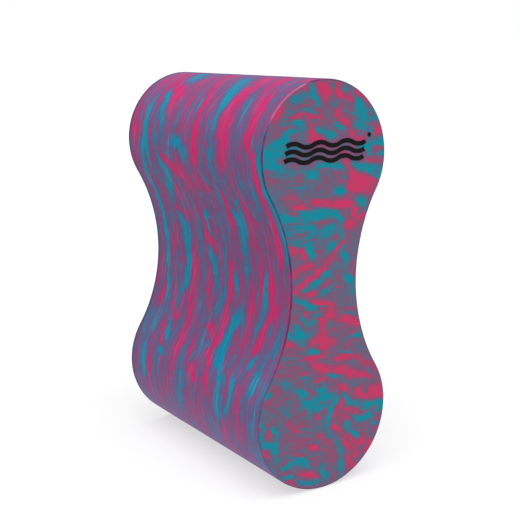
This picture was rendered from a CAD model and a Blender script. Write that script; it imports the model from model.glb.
import math

import bpy
from mathutils import Matrix, Vector, noise


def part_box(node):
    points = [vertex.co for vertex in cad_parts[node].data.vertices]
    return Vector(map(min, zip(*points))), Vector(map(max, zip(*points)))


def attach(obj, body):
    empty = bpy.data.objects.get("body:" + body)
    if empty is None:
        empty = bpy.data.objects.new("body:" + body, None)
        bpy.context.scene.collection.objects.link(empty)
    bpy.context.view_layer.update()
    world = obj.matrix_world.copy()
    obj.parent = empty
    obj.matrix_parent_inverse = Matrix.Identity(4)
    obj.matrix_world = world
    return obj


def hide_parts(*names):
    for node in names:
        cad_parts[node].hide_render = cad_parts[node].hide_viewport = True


# A pull buoy: a figure-8 block of marbled foam with a mark printed on its front face.
# The foam is modelled here, in the CAD's outline. The ink films are the CAD's own.
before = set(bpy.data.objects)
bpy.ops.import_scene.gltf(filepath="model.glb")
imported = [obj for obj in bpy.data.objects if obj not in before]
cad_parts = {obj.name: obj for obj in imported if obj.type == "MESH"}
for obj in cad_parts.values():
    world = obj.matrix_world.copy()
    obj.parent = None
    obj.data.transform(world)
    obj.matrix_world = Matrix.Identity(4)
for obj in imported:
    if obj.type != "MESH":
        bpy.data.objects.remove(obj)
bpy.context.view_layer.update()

MM = 0.001

# ---------------------------------------------------------------- shape of the float
LOW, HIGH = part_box("foam_float")
LENGTH = HIGH.z - LOW.z
DEPTH = HIGH.y - LOW.y
MIDDLE_Z = (LOW.z + HIGH.z) / 2
LOWER_RADIUS = (HIGH.x - LOW.x) / 2
UPPER_RADIUS = 41.0 * MM
HALF_WAIST = 22.25 * MM
EDGE_ROUND = 0.9 * MM              # of the rims, where the faces meet the side
EDGE_STEPS = 4
WORN_DEPTH = 0.9 * EDGE_ROUND      # leaves out the ring where the rounding ends
SPACING = 1.8 * MM                 # between neighbouring points of the mesh
COLUMNS = 2 * round(LOWER_RADIUS / SPACING)          # of the grid on each face
HALVINGS = 60                      # of the range in which the waist's radius is sought


def reach_to_waist(lobe_radius, waist_radius):
    """Height between the centres of a lobe and of the waist arc that touches it."""
    return math.sqrt((lobe_radius - HALF_WAIST) * (lobe_radius + HALF_WAIST + 2 * waist_radius))


def find_waist_radius():
    """Radius of the arc that touches both lobes and leaves the waist its width."""
    between_lobes = LENGTH - LOWER_RADIUS - UPPER_RADIUS
    low, high = 0.0, 1.0
    for _ in range(HALVINGS):
        middle = (low + high) / 2
        reach = reach_to_waist(LOWER_RADIUS, middle) + reach_to_waist(UPPER_RADIUS, middle)
        low, high = (middle, high) if reach < between_lobes else (low, middle)
    return low


def arc(centre_x, centre_z, radius, start, end, hollow=False):
    """Points of an arc, all but the last: (x, z, outward normal x, outward normal z)."""
    count = max(4, round(abs(end - start) * radius / SPACING))
    side = -1 if hollow else 1
    points = []
    for k in range(count):
        angle = start + (end - start) * k / count
        nx, nz = math.cos(angle), math.sin(angle)
        points.append((centre_x + radius * nx, centre_z + radius * nz, side * nx, side * nz))
    return points


def half_outline():
    """Right half of the figure 8, bottom to top: two lobes joined by a waist arc."""
    waist = find_waist_radius()
    waist_x = HALF_WAIST + waist
    lower_z, upper_z = LOW.z + LOWER_RADIUS, HIGH.z - UPPER_RADIUS
    rise = reach_to_waist(LOWER_RADIUS, waist)
    waist_z = lower_z + rise
    below = math.atan2(rise, waist_x)
    above = math.atan2(upper_z - waist_z, waist_x)
    return (arc(0, lower_z, LOWER_RADIUS, -math.pi / 2, below)
            + arc(waist_x, waist_z, waist, math.pi + below, math.pi - above, hollow=True)
            + arc(0, upper_z, UPPER_RADIUS, -above, math.pi / 2)
            + [(0, HIGH.z, 0, 1)])


def run_along(points):
    """Distance along the outline to each point, in millimetres."""
    run = [0.0]
    for a, b in zip(points, points[1:]):
        run.append(run[-1] + math.hypot(a[0] - b[0], a[1] - b[1]) / MM)
    return run


RIGHT_HALF = half_outline()
TOP = len(RIGHT_HALF) - 1          # the crown's place in the outline, which starts at the sole
OUTLINE = RIGHT_HALF + [(-x, z, -nx, nz) for x, z, nx, nz in reversed(RIGHT_HALF[1:-1])]
RING = len(OUTLINE)
RUN = run_along(OUTLINE + OUTLINE[:1])
HALF_RUN = RUN[-1] / 2             # from the sole to the crown, round one side


def ring_levels():
    """(inset, y) of each ring round the block, from the front face to the rear face."""
    rounded = []
    for k in range(EDGE_STEPS):
        turn = math.pi / 2 * k / EDGE_STEPS
        rounded.append((EDGE_ROUND * (1 - math.sin(turn)),
                        LOW.y + EDGE_ROUND * (1 - math.cos(turn))))
    steps = round((DEPTH - 2 * EDGE_ROUND) / SPACING)
    straight = [(0.0, LOW.y + EDGE_ROUND + (DEPTH - 2 * EDGE_ROUND) * k / steps)
                for k in range(steps + 1)]
    return rounded + straight + [(inset, LOW.y + HIGH.y - y) for inset, y in reversed(rounded)]


def rim(levels):
    """Vertices of all the rings, and the faces between each ring and the next."""
    verts = [(x - nx * inset, y, z - nz * inset) for inset, y in levels for x, z, nx, nz in OUTLINE]
    faces = []
    for first in range(0, RING * (len(levels) - 1), RING):
        for i in range(RING):
            here, after = first + i, first + (i + 1) % RING
            faces.append((here, here + RING, after + RING, after))
    return verts, faces


def rows_across(verts, first, inset, y):
    """Rows of vertices over a face, bottom to top, between the two sides of its ring.
    The ring's vertices start at first, and the new ones are added to verts."""
    rows = [[first]]
    for i in range(1, TOP):
        x, z, nx, nz = OUTLINE[i]
        reach = x - nx * inset
        row = [first + RING - i]
        for k in range(1, COLUMNS):
            row.append(len(verts))
            verts.append((reach * (2 * k / COLUMNS - 1), y, z - nz * inset))
        rows.append(row + [first + i])
    return rows + [[first + TOP]]


def cap(rows, rear):
    """Faces between the rows: triangles at the sole and the crown, where a row is one point."""
    faces = []
    for lower, upper in zip(rows, rows[1:]):
        for k in range(COLUMNS):
            corners = [lower[min(k, len(lower) - 1)], lower[min(k + 1, len(lower) - 1)],
                       upper[min(k + 1, len(upper) - 1)], upper[min(k, len(upper) - 1)]]
            face = tuple(dict.fromkeys(corners))
            faces.append(face[::-1] if rear else face)
    return faces


def foam_mesh():
    """The block as rings along Y, with rounded rims, closed by a grid on each face."""
    levels = ring_levels()
    verts, faces = rim(levels)
    rim_points, rim_faces = len(verts), len(faces)
    last = len(levels) - 1
    for level in (0, last):
        rows = rows_across(verts, level * RING, *levels[level])
        faces += cap(rows, rear=level == last)
    mesh = bpy.data.meshes.new("marbled_foam")
    mesh.from_pydata(verts, [], faces)
    mesh.update()
    lay_pattern(mesh, rim_faces)
    mark_edge(mesh, rim_points)
    return mesh


def place_on_face(x, y, z):
    """Millimetres from the middle of the face, turned over on the rear one."""
    side = 1 if y < 0 else -1
    return (side * x / MM, side * (z - MIDDLE_Z) / MM, 0)


def place_on_rim(y, run, left):
    """y and the distance down from the crown in millimetres, turned over on the right half."""
    down = abs(run - HALF_RUN)
    return (y / MM, down, 0) if left else (-y / MM, HALF_RUN - down, 0)


def lay_pattern(mesh, rim_faces):
    """Where each corner lies on the surface, for the marbling. The hidden half of the rim and
    the rear face carry the same marks turned over, so that they look different."""
    places = mesh.attributes.new("pattern", "FLOAT_VECTOR", "CORNER")
    for polygon in mesh.polygons:
        on_rim = polygon.index < rim_faces
        polygon.material_index = 0 if on_rim else 1
        step = polygon.index % RING
        left = step >= TOP
        for loop in polygon.loop_indices:
            vertex = mesh.loops[loop].vertex_index
            x, y, z = mesh.vertices[vertex].co
            if on_rim:
                k = vertex % RING
                closing = k == 0 and step == RING - 1
                places.data[loop].vector = place_on_rim(y, RUN[-1] if closing else RUN[k], left)
            else:
                places.data[loop].vector = place_on_face(x, y, z)


def mark_edge(mesh, rim_points):
    """1 on the rounded rims and 0 elsewhere, for their worn look."""
    edge = mesh.attributes.new("edge", "FLOAT", "POINT")
    for vertex in mesh.vertices:
        depth = min(vertex.co.y - LOW.y, HIGH.y - vertex.co.y)
        edge.data[vertex.index].value = vertex.index < rim_points and depth < WORN_DEPTH


SINK = 0.10                        # millimetres below the CAD's surface, on average
WAVE_SIZE, WAVE_DEPTH = 26.0, 0.07                   # millimetres
RIPPLE_SIZE, RIPPLE_SHARE = 11.0, 0.5                # its share of the wave's depth
DIMPLE_SIZE, DIMPLE_DEPTH, DIMPLE_START = 4.5, 0.12, 0.25
FLAT_SHARE = 0.4                   # the cut faces are truer than the rim
FLAT_NORMAL = 0.9                  # least Y part of the normal on a cut face


def sink_at(place):
    """How far the foam's surface lies below the CAD's, in millimetres."""
    wave = noise.noise(place / WAVE_SIZE)
    wave += RIPPLE_SHARE * noise.noise(place / RIPPLE_SIZE + Vector((7, 0, 3)))
    dimple = max(0.0, noise.noise(place / DIMPLE_SIZE + Vector((0, 9, 0))) - DIMPLE_START)
    return SINK + WAVE_DEPTH * wave + DIMPLE_DEPTH * dimple


def soften(mesh):
    """Foam is never quite true: shallow waves and dimples, sunk in from the cut surface."""
    normals = [v.normal.copy() for v in mesh.vertices]
    for vertex, normal in zip(mesh.vertices, normals):
        depth = sink_at(vertex.co / MM) * MM
        if abs(normal.y) > FLAT_NORMAL:
            vertex.co.y -= math.copysign(FLAT_SHARE * depth, normal.y)
        else:
            vertex.co -= normal * depth
    mesh.update()


# ---------------------------------------------------------------- material helpers
class Nodes:
    """A short way to write the nodes of a material or a world: each call adds a node and
    returns its output."""

    def __init__(self, owner):
        self.owner = owner
        owner.use_nodes = True
        self.tree = owner.node_tree
        self.tree.nodes.clear()

    def add(self, kind, **settings):
        node = self.tree.nodes.new(kind)
        for key, value in settings.items():
            setattr(node, key, value)
        return node

    def put(self, socket, value):
        """Links an output to the socket, or sets the socket's own value."""
        if isinstance(value, bpy.types.NodeSocket):
            self.tree.links.new(value, socket)
        else:
            socket.default_value = value

    def math(self, operation, *values):
        node = self.add("ShaderNodeMath", operation=operation)
        for socket, value in zip(node.inputs, values):
            self.put(socket, value)
        return node.outputs[0]

    def vector(self, operation, *values):
        node = self.add("ShaderNodeVectorMath", operation=operation)
        for socket, value in zip(node.inputs, values):
            self.put(socket, value)
        return node.outputs["Value" if operation == "DOT_PRODUCT" else "Vector"]

    def parts(self, vector):
        """The three parts of a vector."""
        node = self.add("ShaderNodeSeparateXYZ")
        self.put(node.inputs[0], vector)
        return node.outputs

    def noise(self, vector, size, detail=1.0, roughness=0.5, output="Fac"):
        """A noise of about the given size in millimetres: one number, or one for each axis."""
        node = self.add("ShaderNodeTexNoise", noise_dimensions="3D")
        if isinstance(size, tuple):
            vector, size = self.vector("DIVIDE", vector, size), 1.0
        self.put(node.inputs["Vector"], vector)
        self.put(node.inputs["Scale"], 1 / size)
        self.put(node.inputs["Detail"], detail)
        self.put(node.inputs["Roughness"], roughness)
        return node.outputs[output]

    def spread(self, value, low, high, to_low=0.0, to_high=1.0):
        """Smoothly from to_low at low to to_high at high, and level beyond them."""
        node = self.add("ShaderNodeMapRange", interpolation_type="SMOOTHSTEP")
        for socket, number in zip(node.inputs, (value, low, high, to_low, to_high)):
            self.put(socket, number)
        return node.outputs["Result"]

    def ramp(self, value, stops):
        node = self.add("ShaderNodeValToRGB")
        elements = node.color_ramp.elements
        while len(elements) < len(stops):
            elements.new(0.5)
        for element, (place, colour) in zip(elements, stops):
            element.position = place
            element.color = (*colour, 1)
        self.put(node.inputs[0], value)
        return node.outputs[0]

    def blend(self, amount, a, b):
        node = self.add("ShaderNodeMix", data_type="RGBA")
        self.put(node.inputs[0], amount)
        self.put(node.inputs[6], a)
        self.put(node.inputs[7], b)
        return node.outputs[2]

    def bump(self, height, distance, strength, normal=None):
        node = self.add("ShaderNodeBump")
        self.put(node.inputs["Height"], height)
        self.put(node.inputs["Distance"], distance)
        self.put(node.inputs["Strength"], strength)
        if normal is not None:
            self.put(node.inputs["Normal"], normal)
        return node.outputs[0]

    def bands(self, vector, bands):
        """1 along the middle of the nearest band, falling to 0 beside it."""
        cover = 0.0
        for across, along, length, width, slope in ellipses(bands):
            node = self.add("ShaderNodeMapping", vector_type="TEXTURE")
            self.put(node.inputs["Vector"], vector)
            self.put(node.inputs["Location"], (across, along, 0))
            self.put(node.inputs["Rotation"], (0, 0, slope))
            self.put(node.inputs["Scale"], (length * BAND_SPREAD, width * BAND_SPREAD, 1))
            ball = self.add("ShaderNodeTexGradient", gradient_type="SPHERICAL")
            self.put(ball.inputs["Vector"], node.outputs[0])
            cover = self.math("MAXIMUM", ball.outputs["Fac"], cover)
        return cover

    def attribute(self, name, output):
        return self.add("ShaderNodeAttribute", attribute_name=name).outputs[output]

    def wander(self, vector, pushes):
        """The vector pushed about by one noise after another: the size of each, and how far
        it pushes, in millimetres along each axis."""
        for size, reach in pushes:
            reach = reach if isinstance(reach, tuple) else (reach,) * 3
            push = self.noise(vector, size, output="Color")
            push = self.vector("SUBTRACT", push, (0.5,) * 3)
            vector = self.vector("ADD", vector, self.vector("MULTIPLY", push, reach))
        return vector

    def place(self):
        """Where the point lies in the piece, in millimetres."""
        coordinates = self.add("ShaderNodeTexCoord").outputs["Object"]
        return self.vector("MULTIPLY", coordinates, (1 / MM,) * 3)

    def shader(self, **inputs):
        principled = self.add("ShaderNodeBsdfPrincipled")
        for key, value in inputs.items():
            self.put(principled.inputs[key.replace("_", " ")], value)
        out = self.add("ShaderNodeOutputMaterial")
        self.tree.links.new(principled.outputs[0], out.inputs[0])
        return self.owner


def new_material(name):
    return Nodes(bpy.data.materials.new(name))


def linear(*rgb):
    """A colour given as 0 to 255 display values."""
    return tuple((c / 255 / 12.92) if c < 10.3 else ((c / 255 + 0.055) / 1.055) ** 2.4
                 for c in rgb)


# ---------------------------------------------------------------- marbled foam
# Colours of the marbling from the purest teal to the purest raspberry.
FACE_COLOURS = [
    (0.00, linear(10, 139, 157)),
    (0.14, linear(48, 124, 146)),
    (0.28, linear(76, 111, 136)),
    (0.40, linear(98, 101, 128)),
    (0.50, linear(116, 92, 121)),
    (0.59, linear(132, 84, 116)),
    (0.70, linear(150, 76, 111)),
    (0.84, linear(172, 67, 106)),
    (1.00, linear(200, 56, 101)),
]
RIM_COLOURS = [
    (0.00, linear(0, 138, 168)),
    (0.14, linear(42, 120, 156)),
    (0.28, linear(76, 103, 143)),
    (0.40, linear(100, 91, 133)),
    (0.50, linear(117, 83, 127)),
    (0.59, linear(132, 76, 123)),
    (0.70, linear(150, 68, 119)),
    (0.84, linear(172, 56, 112)),
    (1.00, linear(202, 42, 106)),
]
BAND_SPREAD = 0.82                 # a mark fades out this many of its sizes from its middle
BAND_OVERLAP = 1.3                 # a stretch is longer by this many of its widths
FAINT = 0.5

# Bands of clear colour, placed by eye: the width, then the points that the band runs through,
# in millimetres. On a face they are (x, height) from its middle; round the rim they are
# (y, distance down from the top). Faint bands have half the strength.
FACE_TEAL = [
    (3, (-9, 112), (-8, 107), (-5, 103)), (4, (-19, 92), (-17, 91)),
    (4, (-36, 81), (-29, 83), (-24, 86.5), (-20, 87.5)), (10, (-40, 76), (-29, 77)),
    (6, (-36, 73), (-32, 72)), (4, (-5, 88.5), (0, 85.5), (5, 84)), (3, (8, 89.5), (14, 88)),
    (8, (21, 101), (25, 96), (28, 94)), (5, (20, 89), (24, 87.5), (30, 87)),
    (8, (34, 81), (41, 79)), (4, (26, 77), (31, 77)), (2.5, (28, 75.5), (34, 74), (40, 73)),
    (5, (20, 68), (27, 66)), (6, (27, 66), (34, 63.5), (39, 61)), (5, (-11, 65), (-6, 65)),
    (3, (-3, 69.5), (4, 69), (10, 67.5)), (4, (8, 53.5), (12, 53)),
    (5, (24, 49.5), (27, 45.5), (29, 42)),
    (6, (-31, 44), (-20, 43.5), (-10, 42.5), (0, 43), (6, 43)),
    (4, (6, 43), (10, 40), (11.5, 35), (11, 30)), (6, (-23, 36), (-17, 36)),
    (4, (-13, 36.5), (-8, 36)), (5, (-1, 33), (5, 34)), (2.5, (-17, 31), (-8, 33)),
    (4, (-10, 27), (-9, 22), (-8, 19)), (5, (14, 22), (13, 18), (14, 14)), (4, (15, 6), (18, 4)),
    (3.5, (-13, 3), (-7, 4), (-2, 7), (2, 9.5)), (2.5, (-1, 0), (3, 1), (6.5, 3.5)),
    (3, (-21, -3), (-16, -4), (-10, -7), (-6, -8)), (2.5, (-18, -9), (-14, -13)),
    (4, (-13, -15), (-6, -17)), (6, (-19, -24), (-13, -24)), (4, (-18, -20), (-15, -26)),
    (4, (-25, -20), (-23, -23)), (3.5, (-8, -33), (-4, -33.5)), (3, (21, -28), (25, -28)),
    (2.5, (-13, -47), (-8, -47.5)), (2.5, (4, -49), (9, -50.5), (14, -51)),
    (4, (-42, -53), (-37, -53)), (4, (-16, -56), (-12, -58)), (5, (-12, -62), (-10, -63)),
    (3, (-9, -62), (-9, -68)), (5, (-2, -55), (-1, -58)), (5, (-6, -61.5), (3, -62)),
    (5, (-4, -66), (0, -67.5)), (4, (10, -64), (6, -68), (4, -74)), (3, (15, -63), (18, -65)),
    (5, (20, -67), (27, -69), (35, -72), (44, -73)), (6, (32, -71.5), (40, -72)),
    (4, (19, -77), (26, -79), (33, -78)), (4, (17, -80), (19, -84), (24, -88)),
    (4, (-45, -67), (-42, -70), (-40, -73)), (6, (-43, -76), (-41, -79)),
    (6, (-41, -79), (-36, -83), (-34, -87)), (4, (-33, -74), (-32, -81), (-34, -87)),
    (5, (-17, -95), (-13, -97)), (3, (-27, -97), (-22, -95)), (3, (-26, -103), (-23, -103)),
    (3.5, (-14, -108.5), (-10, -110), (-5, -110)), (4, (0, -104), (2, -109)),
]
FACE_FAINT_TEAL = [
    (5, (-22, 105), (-15, 106)), (2, (-13, 99), (-6, 97)), (4, (20, 102), (27, 103), (31, 97)),
    (4, (31, 95), (36, 89)), (3, (11, 109), (15, 106)), (6, (-30, 67), (-22, 66)),
    (5, (-16, 58), (-14, 58)), (4, (13, 66), (13, 58), (11, 53)), (3, (-22, 30), (-13, 27)),
    (6, (3, 25), (5, 25)), (4, (18, 3), (19, -6)), (2.5, (-8, -12), (-2, -12)),
    (2.5, (11, -12), (19, -15)), (2, (8, -35), (20, -38)), (5, (-27, -48), (-21, -52)),
    (4, (3, -81), (8, -87), (11, -92), (13, -100), (13, -108)), (4, (4, -74), (3, -81)),
    (3, (36, -77), (42, -75)), (3, (35, -83), (38, -84)), (4, (-33, -74), (-33, -80)),
    (3, (-33, -98), (-30, -100)), (2.5, (-9, -101), (-5, -103)), (3, (-26, -64), (-24, -66)),
]
FACE_PINK = [
    (6, (-5, 113), (-1, 110), (1, 106)), (5, (-32, 97), (-29, 101)),
    (3, (-22, 94.5), (-14, 95.5), (-6, 95)), (4, (-9, 92), (-9, 87), (-7, 84), (-3, 83)),
    (5, (8, 110), (8, 103), (8, 98), (10, 94)),
    (5, (10, 94), (14, 91), (17, 88), (20, 85), (23, 83)), (4, (16, 104), (18, 101)),
    (3, (20, 107), (24, 104)), (3, (26, 103), (31, 99)), (6, (34, 89), (36, 86), (34, 84)),
    (2.5, (33, 76.8), (40, 76.5)), (7, (18, 63), (24, 59), (30, 57)),
    (7, (18, 57), (23, 55), (30, 54)), (5, (24, 62), (31, 59), (35, 56)),
    (4, (12, 74), (14, 70), (16, 67)), (3, (-20, 48), (-15, 49), (-10, 49)),
    (3, (-10, 49.5), (-2, 50)), (4, (0, 48), (8, 48), (15, 47)), (4, (13, 36), (17, 36)),
    (5, (22, 42), (27, 41)), (4, (-23, 26), (-20, 24)), (3, (-15, 24), (-13, 21)),
    (3, (5, 19), (8, 22), (10, 25), (13, 27)), (4, (-18, 13), (-13, 15), (-9, 17)),
    (4, (-19, 2), (-14, 6), (-8, 8.5), (-3, 12), (1, 15)), (2.5, (-14, 0.5), (-8, 0)),
    (2.5, (-7, -5), (0, -6), (6, -9)), (3.5, (-14, -11), (-9, -11)),
    (5, (-3, -16), (3, -13), (10, -15), (17, -18), (24, -21)), (4, (-2, -18), (0, -21)),
    (8, (-4, -28), (2, -29)), (7, (0, -25), (1, -33)), (3, (6, -23), (12, -26), (20, -27)),
    (3, (-25, -26), (-23, -27)), (3, (-12, -36.5), (-5, -37), (1, -37)),
    (3.5, (6, -36.5), (12, -39.5), (18, -40.5), (21, -41)),
    (4.5, (-6, -41), (0, -44), (7, -46), (14, -47.5)), (4, (16, -50), (24, -52), (31, -54)),
    (2.5, (-4, -50.5), (0, -50)), (3, (11, -57), (15, -58), (19, -61)),
    (7, (22, -63), (31, -64), (40, -65)), (5, (35, -68), (43, -68.5)), (3, (12, -64), (12, -69)),
    (4, (8, -72), (7, -78), (10, -83)), (3, (16, -72), (22, -73)), (3, (15, -75), (20, -78)),
    (4, (-38, -75), (-37, -76)), (3, (-46, -71), (-43, -71)), (3, (-41, -84), (-37, -87)),
    (4, (32, -86), (39, -87)), (4, (16, -91), (18, -94)), (6, (27, -92), (25, -97)),
    (2.5, (19, -88), (22, -93)), (3, (31, -98), (37, -93)), (5, (18, -102), (21, -105)),
    (3, (-8, -89), (-5, -90)), (2.5, (-14, -103), (-8, -106), (-4, -108)),
    (3, (-24, -105), (-21, -107)),
]
FACE_FAINT_PINK = [
    (3, (-24, 107), (-17, 110), (-13, 111)), (2.5, (27, 71), (33, 70.5), (39, 69)),
    (2, (-27, 55), (-20, 53)), (9, (12, 48), (20, 44)), (3, (3, 5), (8, 2)),
    (2, (10, -10), (18, -12)), (3, (-16, -45), (-9, -45)), (4, (-34, -37), (-32, -41)),
    (3, (26, -43), (33, -47), (38, -51)), (2, (-20, -91), (-14, -92)), (3, (-18, -84), (-14, -84)),
    (4, (-22, -73), (-20, -76)), (2.5, (-2, -83), (0, -86)), (3, (-7, -71), (-4, -72)),
]
RIM_TEAL = [
    (9, (40, 4), (37, 12), (34, 19)), (5, (45, 32), (40, 38), (39, 46), (37, 52)),
    (5, (56, 48), (55, 60), (52, 72)), (7, (15, 63), (8, 66)), (4, (9, 66), (7, 72)),
    (3, (30, 68), (26, 69)), (8, (-18, 16), (-22, 26), (-26, 34)),
    (7, (33, 84), (37, 90), (42, 97)), (6, (-32, 104), (-36, 110), (-33, 117)),
    (4, (3, 104), (7, 110), (5, 118)), (9, (38, 114), (36, 122), (36, 131)),
    (6, (36, 133), (34, 145), (36, 155)), (4, (10, 130), (5, 135), (2, 142)),
    (4, (58, 68), (62, 80), (63, 95), (64, 115)), (4, (64, 115), (62, 135), (60, 150), (57, 165)),
    (7, (-27, 161), (-24, 170), (-21, 180)), (7, (-21, 180), (-23, 190), (-29, 196)),
    (5, (-30, 196), (-31, 208), (-33, 222)), (5, (40, 183), (38, 190)), (4, (42, 200), (38, 203)),
    (6, (60, 205), (58, 222)), (4, (-43, 196), (-46, 206), (-43, 216)), (4, (-55, 178), (-53, 186)),
    (4, (-64, 188), (-63, 200)), (4, (-20, 140), (-22, 146)),
    (4, (-54, 130), (-52, 140), (-53, 150)), (5, (-73, 62), (-75, 80), (-75, 100), (-74, 122)),
    (3, (-65, 52), (-67, 58)), (4, (0, 33), (0, 40)),
]
RIM_FAINT_TEAL = [
    (4, (58, 34), (56, 48)), (5, (41, 60), (40, 70), (37, 78)),
    (5, (-24, 40), (-24, 60), (-24, 80)), (5, (-24, 80), (-18, 100)),
    (6, (-3, 150), (-5, 158), (-2, 166)), (5, (60, 178), (58, 192)),
    (7, (13, 195), (13, 206), (9, 218), (14, 230)), (4, (-31, 126), (-33, 138)),
    (4, (-48, 36), (-49, 44)), (4, (-41, 93), (-36, 97)), (3, (1, 183), (-2, 188)),
    (4, (-20, 197), (-21, 206)), (4, (-70, 165), (-72, 190), (-72, 205)),
    (6, (-72, 205), (-72, 240)), (4, (-48, 165), (-50, 163)),
]
RIM_PINK = [
    (10, (37, 24), (31, 28), (32, 36)), (10, (-36, 28), (-34, 38), (-35, 50)),
    (8, (-35, 50), (-38, 60), (-36, 70)), (4, (-40, 15), (-40, 28)),
    (8, (-62, 34), (-61, 45), (-64, 53)), (3, (-61, 52), (-64, 60), (-69, 66)),
    (5, (-70, 66), (-70, 78), (-68, 90)), (5, (-68, 92), (-69, 110), (-68, 125)),
    (6, (-4, 30), (-5, 45), (-7, 60), (-7, 72)), (8, (31, 72), (26, 76), (22, 78)),
    (5, (29, 88), (31, 95)), (4, (-26, 88), (-24, 102), (-24, 111)),
    (5, (38, 108), (33, 110), (33, 114)), (5, (8, 122), (3, 127)),
    (5, (-15, 138), (-16, 150), (-14, 162), (-16, 172), (-15, 180)), (5, (-2, 175), (-6, 177)),
    (5, (-10, 190), (-16, 194)), (4, (-18, 200), (-20, 212)),
    (3, (-48, 124), (-49, 135), (-47, 150)),
    (5, (-57, 130), (-60, 145), (-62, 155), (-56, 165), (-52, 180)), (5, (47, 185), (44, 195)),
    (4, (38, 174), (42, 172)), (5, (-2, 204), (-5, 206)), (6, (70, 45), (68, 58)),
]
RIM_FAINT_PINK = [
    (7, (12, 34), (12, 45), (11, 53)), (7, (14, 78), (14, 90)), (8, (-8, 88), (2, 86)),
    (5, (13, 108), (10, 114)), (9, (28, 140), (26, 160), (24, 180), (26, 200)),
    (7, (22, 190), (20, 205), (24, 220)), (5, (10, 145), (8, 155)),
    (5, (-38, 150), (-40, 170), (-39, 190), (-41, 205)), (5, (8, 185), (7, 200), (4, 205)),
    (5, (52, 130), (55, 140)), (5, (64, 168), (62, 172)), (5, (-55, 20), (-60, 30)),
    (5, (0, 14), (2, 26)), (6, (20, 12), (20, 28)), (5, (-48, 10), (-50, 25)),
    (6, (-45, 95), (-50, 108)), (6, (-40, 225), (-36, 240)), (6, (0, 225), (-4, 240)),
    (11, (-52, 4), (-53, 14)), (18, (8, 4), (8, 16)), (12, (60, 8), (60, 22)),
    (12, (-30, 2), (-32, 10)),
]


def ellipses(bands):
    """One overlapping ellipse for each stretch of each band: its middle, length, width, slope."""
    for width, *points in bands:
        for (x0, y0), (x1, y1) in zip(points, points[1:]):
            length = math.hypot(x1 - x0, y1 - y0) + BAND_OVERLAP * width
            yield (x0 + x1) / 2, (y0 + y1) / 2, length, width, math.atan2(y1 - y0, x1 - x0)


def banded(n, where, strength, pink, faint_pink, teal, faint_teal):
    """Above zero in the pink bands, below it in the teal ones."""
    field = 0.0
    for bands, amount in ((pink, 1), (faint_pink, FAINT), (teal, -1), (faint_teal, -FAINT)):
        field = n.math("MULTIPLY_ADD", n.bands(where, bands), amount * strength, field)
    return field


def add_noise(n, field, noise_value, share):
    return n.math("MULTIPLY_ADD", n.math("SUBTRACT", noise_value, 0.5), share, field)


LIMIT_SLOPE, LIMIT_REACH = 1.7, 0.61                 # how the field is limited to the ramp


def coloured(n, field, colours):
    """Colour by the field: softly limited, so that the clear bands keep some shade."""
    soft = n.math("TANH", n.math("MULTIPLY", field, LIMIT_SLOPE))
    return n.ramp(n.math("MULTIPLY_ADD", soft, LIMIT_REACH, 0.5), colours)


PORE_SIZE, PORE_DEPTH, PORE_STRENGTH = 0.45, 0.05 * MM, 0.5
SKIN_SIZE, SKIN_DEPTH, SKIN_STRENGTH = 5.0, 0.2 * MM, 0.35
LINE_DEPTH, LINE_STRENGTH = 0.15 * MM, 0.25
FOAM_ROUGHNESS = 0.66, 0.78


def foam_surface(n, colour, where, lines):
    """The finish shared by the cut faces and the rim: dull, with fine open pores."""
    pores = n.noise(where, PORE_SIZE, roughness=0.6)
    skin = n.noise(where, SKIN_SIZE, detail=2.0)
    normal = n.bump(pores, PORE_DEPTH, PORE_STRENGTH)
    normal = n.bump(skin, SKIN_DEPTH, SKIN_STRENGTH, normal)
    normal = n.bump(lines, LINE_DEPTH, LINE_STRENGTH, normal)
    roughness = n.spread(skin, 0.3, 0.7, *FOAM_ROUGHNESS)
    return n.shader(Base_Color=colour, Roughness=roughness, Normal=normal,
                    Specular_IOR_Level=0.08, Sheen_Weight=0.02, Sheen_Roughness=0.4)


# Noises of the cut faces: sizes in millimetres, along X, Y and Z where there are three, and
# the share of each in the field. A push is the size of its noise, and how far it reaches.
FACE_BAND_STRENGTH = 1.02
FACE_BAND_PUSHES = ((10.0, 4.0), (4.0, 1.4))
FACE_PUSHES = ((30.0, 34.0), (9.0, 8.0))
FACE_BLOTS, FACE_BLOT_SHARE = (12.0, 8.0, 7.0), 0.45
FACE_LINES, FACE_LINE_SHARE = (9.0, 6.0, 2.1), 0.6
FACE_GRAIN, FACE_GRAIN_SHARE = 0.8, 0.35
RING_PUSHES = ((20.0, 16.0),)
RING_FLOW, RING_SHARE = (19.0, 15.0, 8.0), 0.09
RING_TURNS = 4.5                   # swirl lines between the lowest and the highest of their noise


def face_foam():
    """Swirled and blotchy, as the marbling looks when it is cut across."""
    n = new_material("marbled_face")
    where = n.place()
    on_face = n.wander(n.attribute("pattern", "Vector"), FACE_BAND_PUSHES)
    field = banded(n, on_face, FACE_BAND_STRENGTH,
                   FACE_PINK, FACE_FAINT_PINK, FACE_TEAL, FACE_FAINT_TEAL)
    swirled = n.wander(where, FACE_PUSHES)
    lines = n.noise(swirled, FACE_LINES)
    flow = n.noise(n.wander(where, RING_PUSHES), RING_FLOW, detail=0.0)
    rings = n.math("SINE", n.math("MULTIPLY", flow, RING_TURNS * 2 * math.pi))
    field = add_noise(n, field, n.noise(swirled, FACE_BLOTS), FACE_BLOT_SHARE)
    field = add_noise(n, field, lines, FACE_LINE_SHARE)
    field = n.math("MULTIPLY_ADD", rings, RING_SHARE, field)
    field = add_noise(n, field, n.noise(where, FACE_GRAIN, roughness=0.6), FACE_GRAIN_SHARE)
    return foam_surface(n, coloured(n, field, FACE_COLOURS), where, lines)


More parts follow.
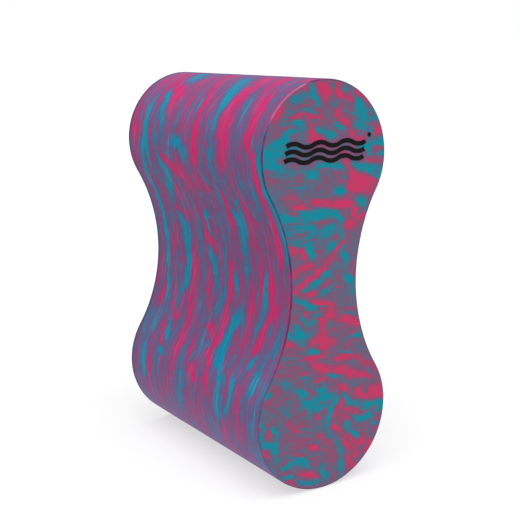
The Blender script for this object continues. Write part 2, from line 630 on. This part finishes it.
# Noises of the rim, given as for the faces. All are drawn out round it, across Y.
RIM_BAND_STRENGTH = 0.95
RIM_BAND_PUSHES = (((9.0, 26.0, 9.0), (5.0, 14.0, 0)), ((3.0, 8.0, 3.0), (3.0, 5.0, 0)))
RIM_PUSHES = (((30.0, 12.0, 30.0), (10.0, 6.0, 10.0)), ((16.0, 5.0, 16.0), (3.0, 1.5, 3.0)))
RIM_STREAKS, RIM_STREAK_SHARE = (30.0, 6.5, 30.0), 1.1
RIM_LINES, RIM_LINE_SHARE = (14.0, 1.6, 14.0), 0.5
RIM_BLOTS, RIM_BLOT_SHARE = (8.0, 2.8, 8.0), 0.9
RIM_GRAIN, RIM_GRAIN_SHARE = (2.2, 1.1, 2.2), 0.6
RIM_FINE = (20.0, 0.8, 20.0)
JOIN_FADE = 0.5, 9.0               # distances from a join where bands begin, and are full


def rim_foam():
    """Streaky, as the marbling looks when it is cut along."""
    n = new_material("marbled_rim")
    where = n.place()
    on_rim = n.attribute("pattern", "Vector")
    field = banded(n, n.wander(on_rim, RIM_BAND_PUSHES), RIM_BAND_STRENGTH,
                   RIM_PINK, RIM_FAINT_PINK, RIM_TEAL, RIM_FAINT_TEAL)
    field = n.math("MULTIPLY", field, clear_of_joins(n, on_rim))
    drawn = n.wander(where, RIM_PUSHES)
    lines = n.noise(drawn, RIM_LINES)
    field = add_noise(n, field, n.noise(drawn, RIM_STREAKS), RIM_STREAK_SHARE)
    field = add_noise(n, field, lines, RIM_LINE_SHARE)
    field = add_noise(n, field, n.noise(drawn, RIM_BLOTS), RIM_BLOT_SHARE)
    field = add_noise(n, field, n.noise(where, RIM_GRAIN, roughness=0.6), RIM_GRAIN_SHARE)
    colour = hazed(n, coloured(n, field, RIM_COLOURS), n.noise(drawn, RIM_FINE), where)
    return foam_surface(n, worn_edge(n, colour, where), where, lines)


def clear_of_joins(n, on_rim):
    """0 along the crown and the sole, where the marks of the two halves of the rim meet."""
    down = n.parts(on_rim)[1]
    begin, full = JOIN_FADE
    crown = n.spread(down, begin, full)
    return n.math("MULTIPLY", crown, n.spread(down, HALF_RUN - begin, HALF_RUN - full))


# Each of these is where a change begins and ends, and the amount before it and after it.
# Heights and depths are in millimetres.
TOP_Z, REAR_Y = HIGH.z / MM, HIGH.y / MM
HAZE = linear(158, 130, 180)
HAZE_PATCHES = (40.0, 17.0, 40.0)
LINE_HAZE, PATCH_HAZE = (0.5, 0.75, 0.0, 0.34), (0.38, 0.62, 0.25, 1.0)
CROWN_HAZE = (TOP_Z - 7, TOP_Z + 1, 0.0, 0.1)
LOWER_HAZE = (55.0, 8.0, 0.0, 0.36)


def hazed(n, colour, fine, where):
    """Thin paler lilac lines that the cutting wire drew round the rim, and rubbed ends."""
    height = n.parts(where)[2]
    thin = n.math("MULTIPLY", n.spread(fine, *LINE_HAZE),
                  n.spread(n.noise(where, HAZE_PATCHES), *PATCH_HAZE))
    ends = n.math("ADD", n.spread(height, *CROWN_HAZE), n.spread(height, *LOWER_HAZE))
    return n.blend(n.math("ADD", ends, thin), colour, (*HAZE, 1))


WORN_DARK, WORN_PALE = linear(46, 28, 58), linear(184, 122, 160)
WORN_PATCHES = 9.0
PATCH_WEAR, HEIGHT_WEAR = (0.35, 0.6, 0.35, 0.65), (60.0, 95.0, 0.5, 1.0)
REAR_WEAR = (REAR_Y - 5, REAR_Y - 0.3, 0.0, 0.6)
SOLE_WEAR = (6.2, 3.0, 0.0, 0.75)
SHOULDER_X, SHOULDER_Y, SHOULDER_Z = (-9.0, -16.0), (0.0, -60.0), (TOP_Z - 25, TOP_Z - 17)


def worn_edge(n, colour, where):
    """The rounded rims, the rearmost strip and the sole are darker, and the rim is rubbed
    paler on the left shoulder of the upper lobe."""
    x, y, z = n.parts(where)
    upper_left = n.math("MULTIPLY", n.spread(z, *SHOULDER_Z), n.spread(x, *SHOULDER_X))
    shoulder = n.math("MULTIPLY", upper_left, n.spread(y, *SHOULDER_Y))
    tone = n.ramp(shoulder, [(0.0, WORN_DARK), (1.0, WORN_PALE)])
    patchy = n.noise(where, WORN_PATCHES, detail=2.0, roughness=0.6)
    strength = n.math("MULTIPLY", n.spread(patchy, *PATCH_WEAR), n.spread(z, *HEIGHT_WEAR))
    rounded = n.math("MULTIPLY", n.spread(n.attribute("edge", "Fac"), 0.3, 0.9), strength)
    ends = n.math("MAXIMUM", n.spread(y, *REAR_WEAR), n.spread(z, *SOLE_WEAR))
    return n.blend(n.math("MAXIMUM", rounded, ends), colour, tone)


# ---------------------------------------------------------------- ink
INK_DARK, INK_PALE = linear(9, 7, 9), linear(19, 15, 18)
INK_MOTTLE, INK_GRAIN = 1.3, 0.4                     # millimetres
INK_GRAIN_DEPTH, INK_GRAIN_STRENGTH = 0.04 * MM, 0.4
INK_ROUGHNESS = 0.5, 0.65


def ink():
    n = new_material("printed_ink")
    where = n.place()
    mottle = n.noise(where, INK_MOTTLE, detail=2.0, roughness=0.6)
    colour = n.ramp(mottle, [(0.3, INK_DARK), (0.7, INK_PALE)])
    normal = n.bump(n.noise(where, INK_GRAIN), INK_GRAIN_DEPTH, INK_GRAIN_STRENGTH)
    return n.shader(Base_Color=colour, Roughness=n.spread(mottle, 0.3, 0.7, *INK_ROUGHNESS),
                    Normal=normal, Specular_IOR_Level=0.12)


# ---------------------------------------------------------------- pieces
def make_piece(name, mesh, *materials):
    piece = bpy.data.objects.new(name, mesh)
    bpy.context.scene.collection.objects.link(piece)
    for material in materials:
        mesh.materials.append(material)
    for polygon in mesh.polygons:
        polygon.use_smooth = True
    return piece


foam_geometry = foam_mesh()
soften(foam_geometry)
foam = make_piece("marbled_foam", foam_geometry, rim_foam(), face_foam())
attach(foam, "root")
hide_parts("foam_float")

print_ink = ink()
for name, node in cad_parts.items():
    if name.startswith("print_"):
        node.data.materials.clear()
        node.data.materials.append(print_ink)

# ---------------------------------------------------------------- studio
FLOOR_REACH = 40.0
FLOOR_DARK, FLOOR_PALE = (0.33,) * 3, (0.35,) * 3
FLOOR_MOTTLE = 1000 / 6            # millimetres
FLOOR_GLOW = 0.63                  # like a light table, so that shadows stay faint
SUN_STRENGTH, SUN_SPREAD = 3.75, 72                  # W/m2, degrees across
SUN_DIRECTION = (-0.2, -0.28, 0.93)
ROOM_GLOW = 0.05
SIDE_GLOW, SIDE_DIRECTION = 0.17, (0.8, -0.6, 0)     # from the front right
BACK_GLOW, BACK_DIRECTION = 0.22, (0.3, 1.0, 0)      # from behind, for the rear face


def floor_material():
    n = new_material("studio_floor")
    tone = n.noise(n.place(), FLOOR_MOTTLE, detail=2.0)
    colour = n.ramp(tone, [(0.3, FLOOR_DARK), (0.7, FLOOR_PALE)])
    return n.shader(Base_Color=colour, Roughness=0.9, Specular_IOR_Level=0.1,
                    Emission_Color=(1, 1, 1, 1), Emission_Strength=FLOOR_GLOW)


def make_floor():
    corners = [(-FLOOR_REACH, -FLOOR_REACH, 0), (FLOOR_REACH, -FLOOR_REACH, 0),
               (FLOOR_REACH, FLOOR_REACH, 0), (-FLOOR_REACH, FLOOR_REACH, 0)]
    mesh = bpy.data.meshes.new("studio_floor")
    mesh.from_pydata(corners, [], [(0, 1, 2, 3)])
    floor = bpy.data.objects.new("studio_floor", mesh)
    bpy.context.scene.collection.objects.link(floor)
    mesh.materials.append(floor_material())


def make_sun():
    """A very large soft source overhead."""
    lamp = bpy.data.lights.new("overhead", "SUN")
    lamp.energy = SUN_STRENGTH
    lamp.angle = math.radians(SUN_SPREAD)
    light = bpy.data.objects.new("overhead", lamp)
    light.rotation_mode = "QUATERNION"
    light.rotation_quaternion = Vector(SUN_DIRECTION).to_track_quat("Z", "Y")
    bpy.context.scene.collection.objects.link(light)


def glow_from(n, direction, towards):
    """The cosine of the angle between two directions, or 0 past a right angle."""
    return n.math("MAXIMUM", n.vector("DOT_PRODUCT", direction, towards), 0.0)


def background(n, strength):
    node = n.add("ShaderNodeBackground")
    n.put(node.inputs["Color"], (1, 1, 1, 1))
    n.put(node.inputs["Strength"], strength)
    return node.outputs[0]


def make_world():
    """A softly lit room, seen by the camera as a plain white wall."""
    world = bpy.data.worlds.new("studio")
    bpy.context.scene.world = world
    n = Nodes(world)
    direction = n.add("ShaderNodeTexCoord").outputs["Generated"]
    side = glow_from(n, direction, SIDE_DIRECTION)
    behind = glow_from(n, direction, BACK_DIRECTION)
    glow = n.math("MULTIPLY_ADD", behind, BACK_GLOW, ROOM_GLOW)
    room = background(n, n.math("MULTIPLY_ADD", side, SIDE_GLOW, glow))
    seen = n.add("ShaderNodeMixShader")
    n.put(seen.inputs[0], n.add("ShaderNodeLightPath").outputs["Is Camera Ray"])
    n.put(seen.inputs[1], room)
    n.put(seen.inputs[2], background(n, 1.0))
    n.put(n.add("ShaderNodeOutputWorld").inputs[0], seen.outputs[0])


# ---------------------------------------------------------------- camera
AZIMUTH, ELEVATION, ROLL = -33.2, 12.06, -0.305      # degrees, fitted to the photo's outline
DISTANCE = 630.4 * MM
LENS, SENSOR = 71.43, 36.0                           # millimetres
AIM = Vector((7.93 * MM, 0, MIDDLE_Z + 3.25 * MM))


def make_camera():
    azimuth, elevation = math.radians(AZIMUTH), math.radians(ELEVATION)
    back = Vector((math.sin(azimuth) * math.cos(elevation),
                   -math.cos(azimuth) * math.cos(elevation), math.sin(elevation)))
    turn = (-back).to_track_quat("-Z", "Y").to_matrix()
    roll = Matrix.Rotation(math.radians(ROLL), 3, "Z")
    camera = bpy.data.objects.new("camera", bpy.data.cameras.new("camera"))
    camera.data.sensor_width = SENSOR
    camera.data.lens = LENS
    camera.location = AIM + back * DISTANCE
    camera.rotation_mode = "QUATERNION"
    camera.rotation_quaternion = (turn @ roll).to_quaternion()
    bpy.context.scene.collection.objects.link(camera)
    bpy.context.scene.camera = camera


make_floor()
make_world()
make_sun()
make_camera()
bpy.context.scene.view_settings.view_transform = "Standard"
